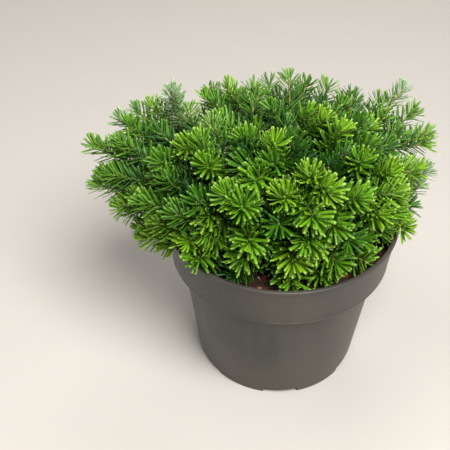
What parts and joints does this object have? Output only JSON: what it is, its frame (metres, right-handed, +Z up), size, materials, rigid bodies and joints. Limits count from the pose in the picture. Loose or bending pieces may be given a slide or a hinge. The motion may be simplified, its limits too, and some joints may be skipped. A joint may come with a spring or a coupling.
{
  "type": "potted dwarf korean fir",
  "caption": "Low, flat-topped dwarf fir with short trunk, spreading boughs and dense needled shoots, in a round tapered nursery pot with a deep collar.",
  "frame": {"origin": "middle of the pot's flat underside", "axes": "+Z up, +Y towards the back, +X towards the right seen from the front"},
  "size_m": [0.3097, 0.2265, 0.2863],
  "materials": {
    "pot": "satin taupe-grey moulded plastic",
    "soil": "dark peat and bark",
    "bark": "rough orange-brown bark",
    "foliage": "satin green needles"
  },
  "bodies": {
    "root": {"pot": "pot", "soil": "soil", "trunk": "bark", "bough_01": "bark", "bough_02": "bark", "bough_03": "bark", "bough_04": "bark", "bough_05": "bark", "bough_06": "bark", "bough_07": "bark", "bough_08": "bark", "bough_09": "bark", "bough_10": "bark", "bough_11": "bark", "bough_12": "bark", "bough_13": "bark", "bough_14": "bark", "bough_15": "bark", "bough_16": "bark", "bough_17": "bark", "bough_18": "bark", "bough_19": "bark", "bough_20": "bark", "bough_21": "bark", "foliage_00": "foliage", "foliage_01": "foliage", "foliage_02": "foliage", "foliage_03": "foliage", "foliage_04": "foliage", "foliage_05": "foliage", "foliage_06": "foliage", "foliage_07": "foliage", "foliage_08": "foliage", "foliage_09": "foliage", "foliage_10": "foliage", "foliage_11": "foliage", "foliage_12": "foliage", "foliage_13": "foliage", "foliage_14": "foliage", "foliage_15": "foliage", "foliage_16": "foliage", "foliage_17": "foliage", "foliage_18": "foliage", "foliage_19": "foliage", "foliage_20": "foliage", "foliage_21": "foliage"}
  },
  "joints": []
}
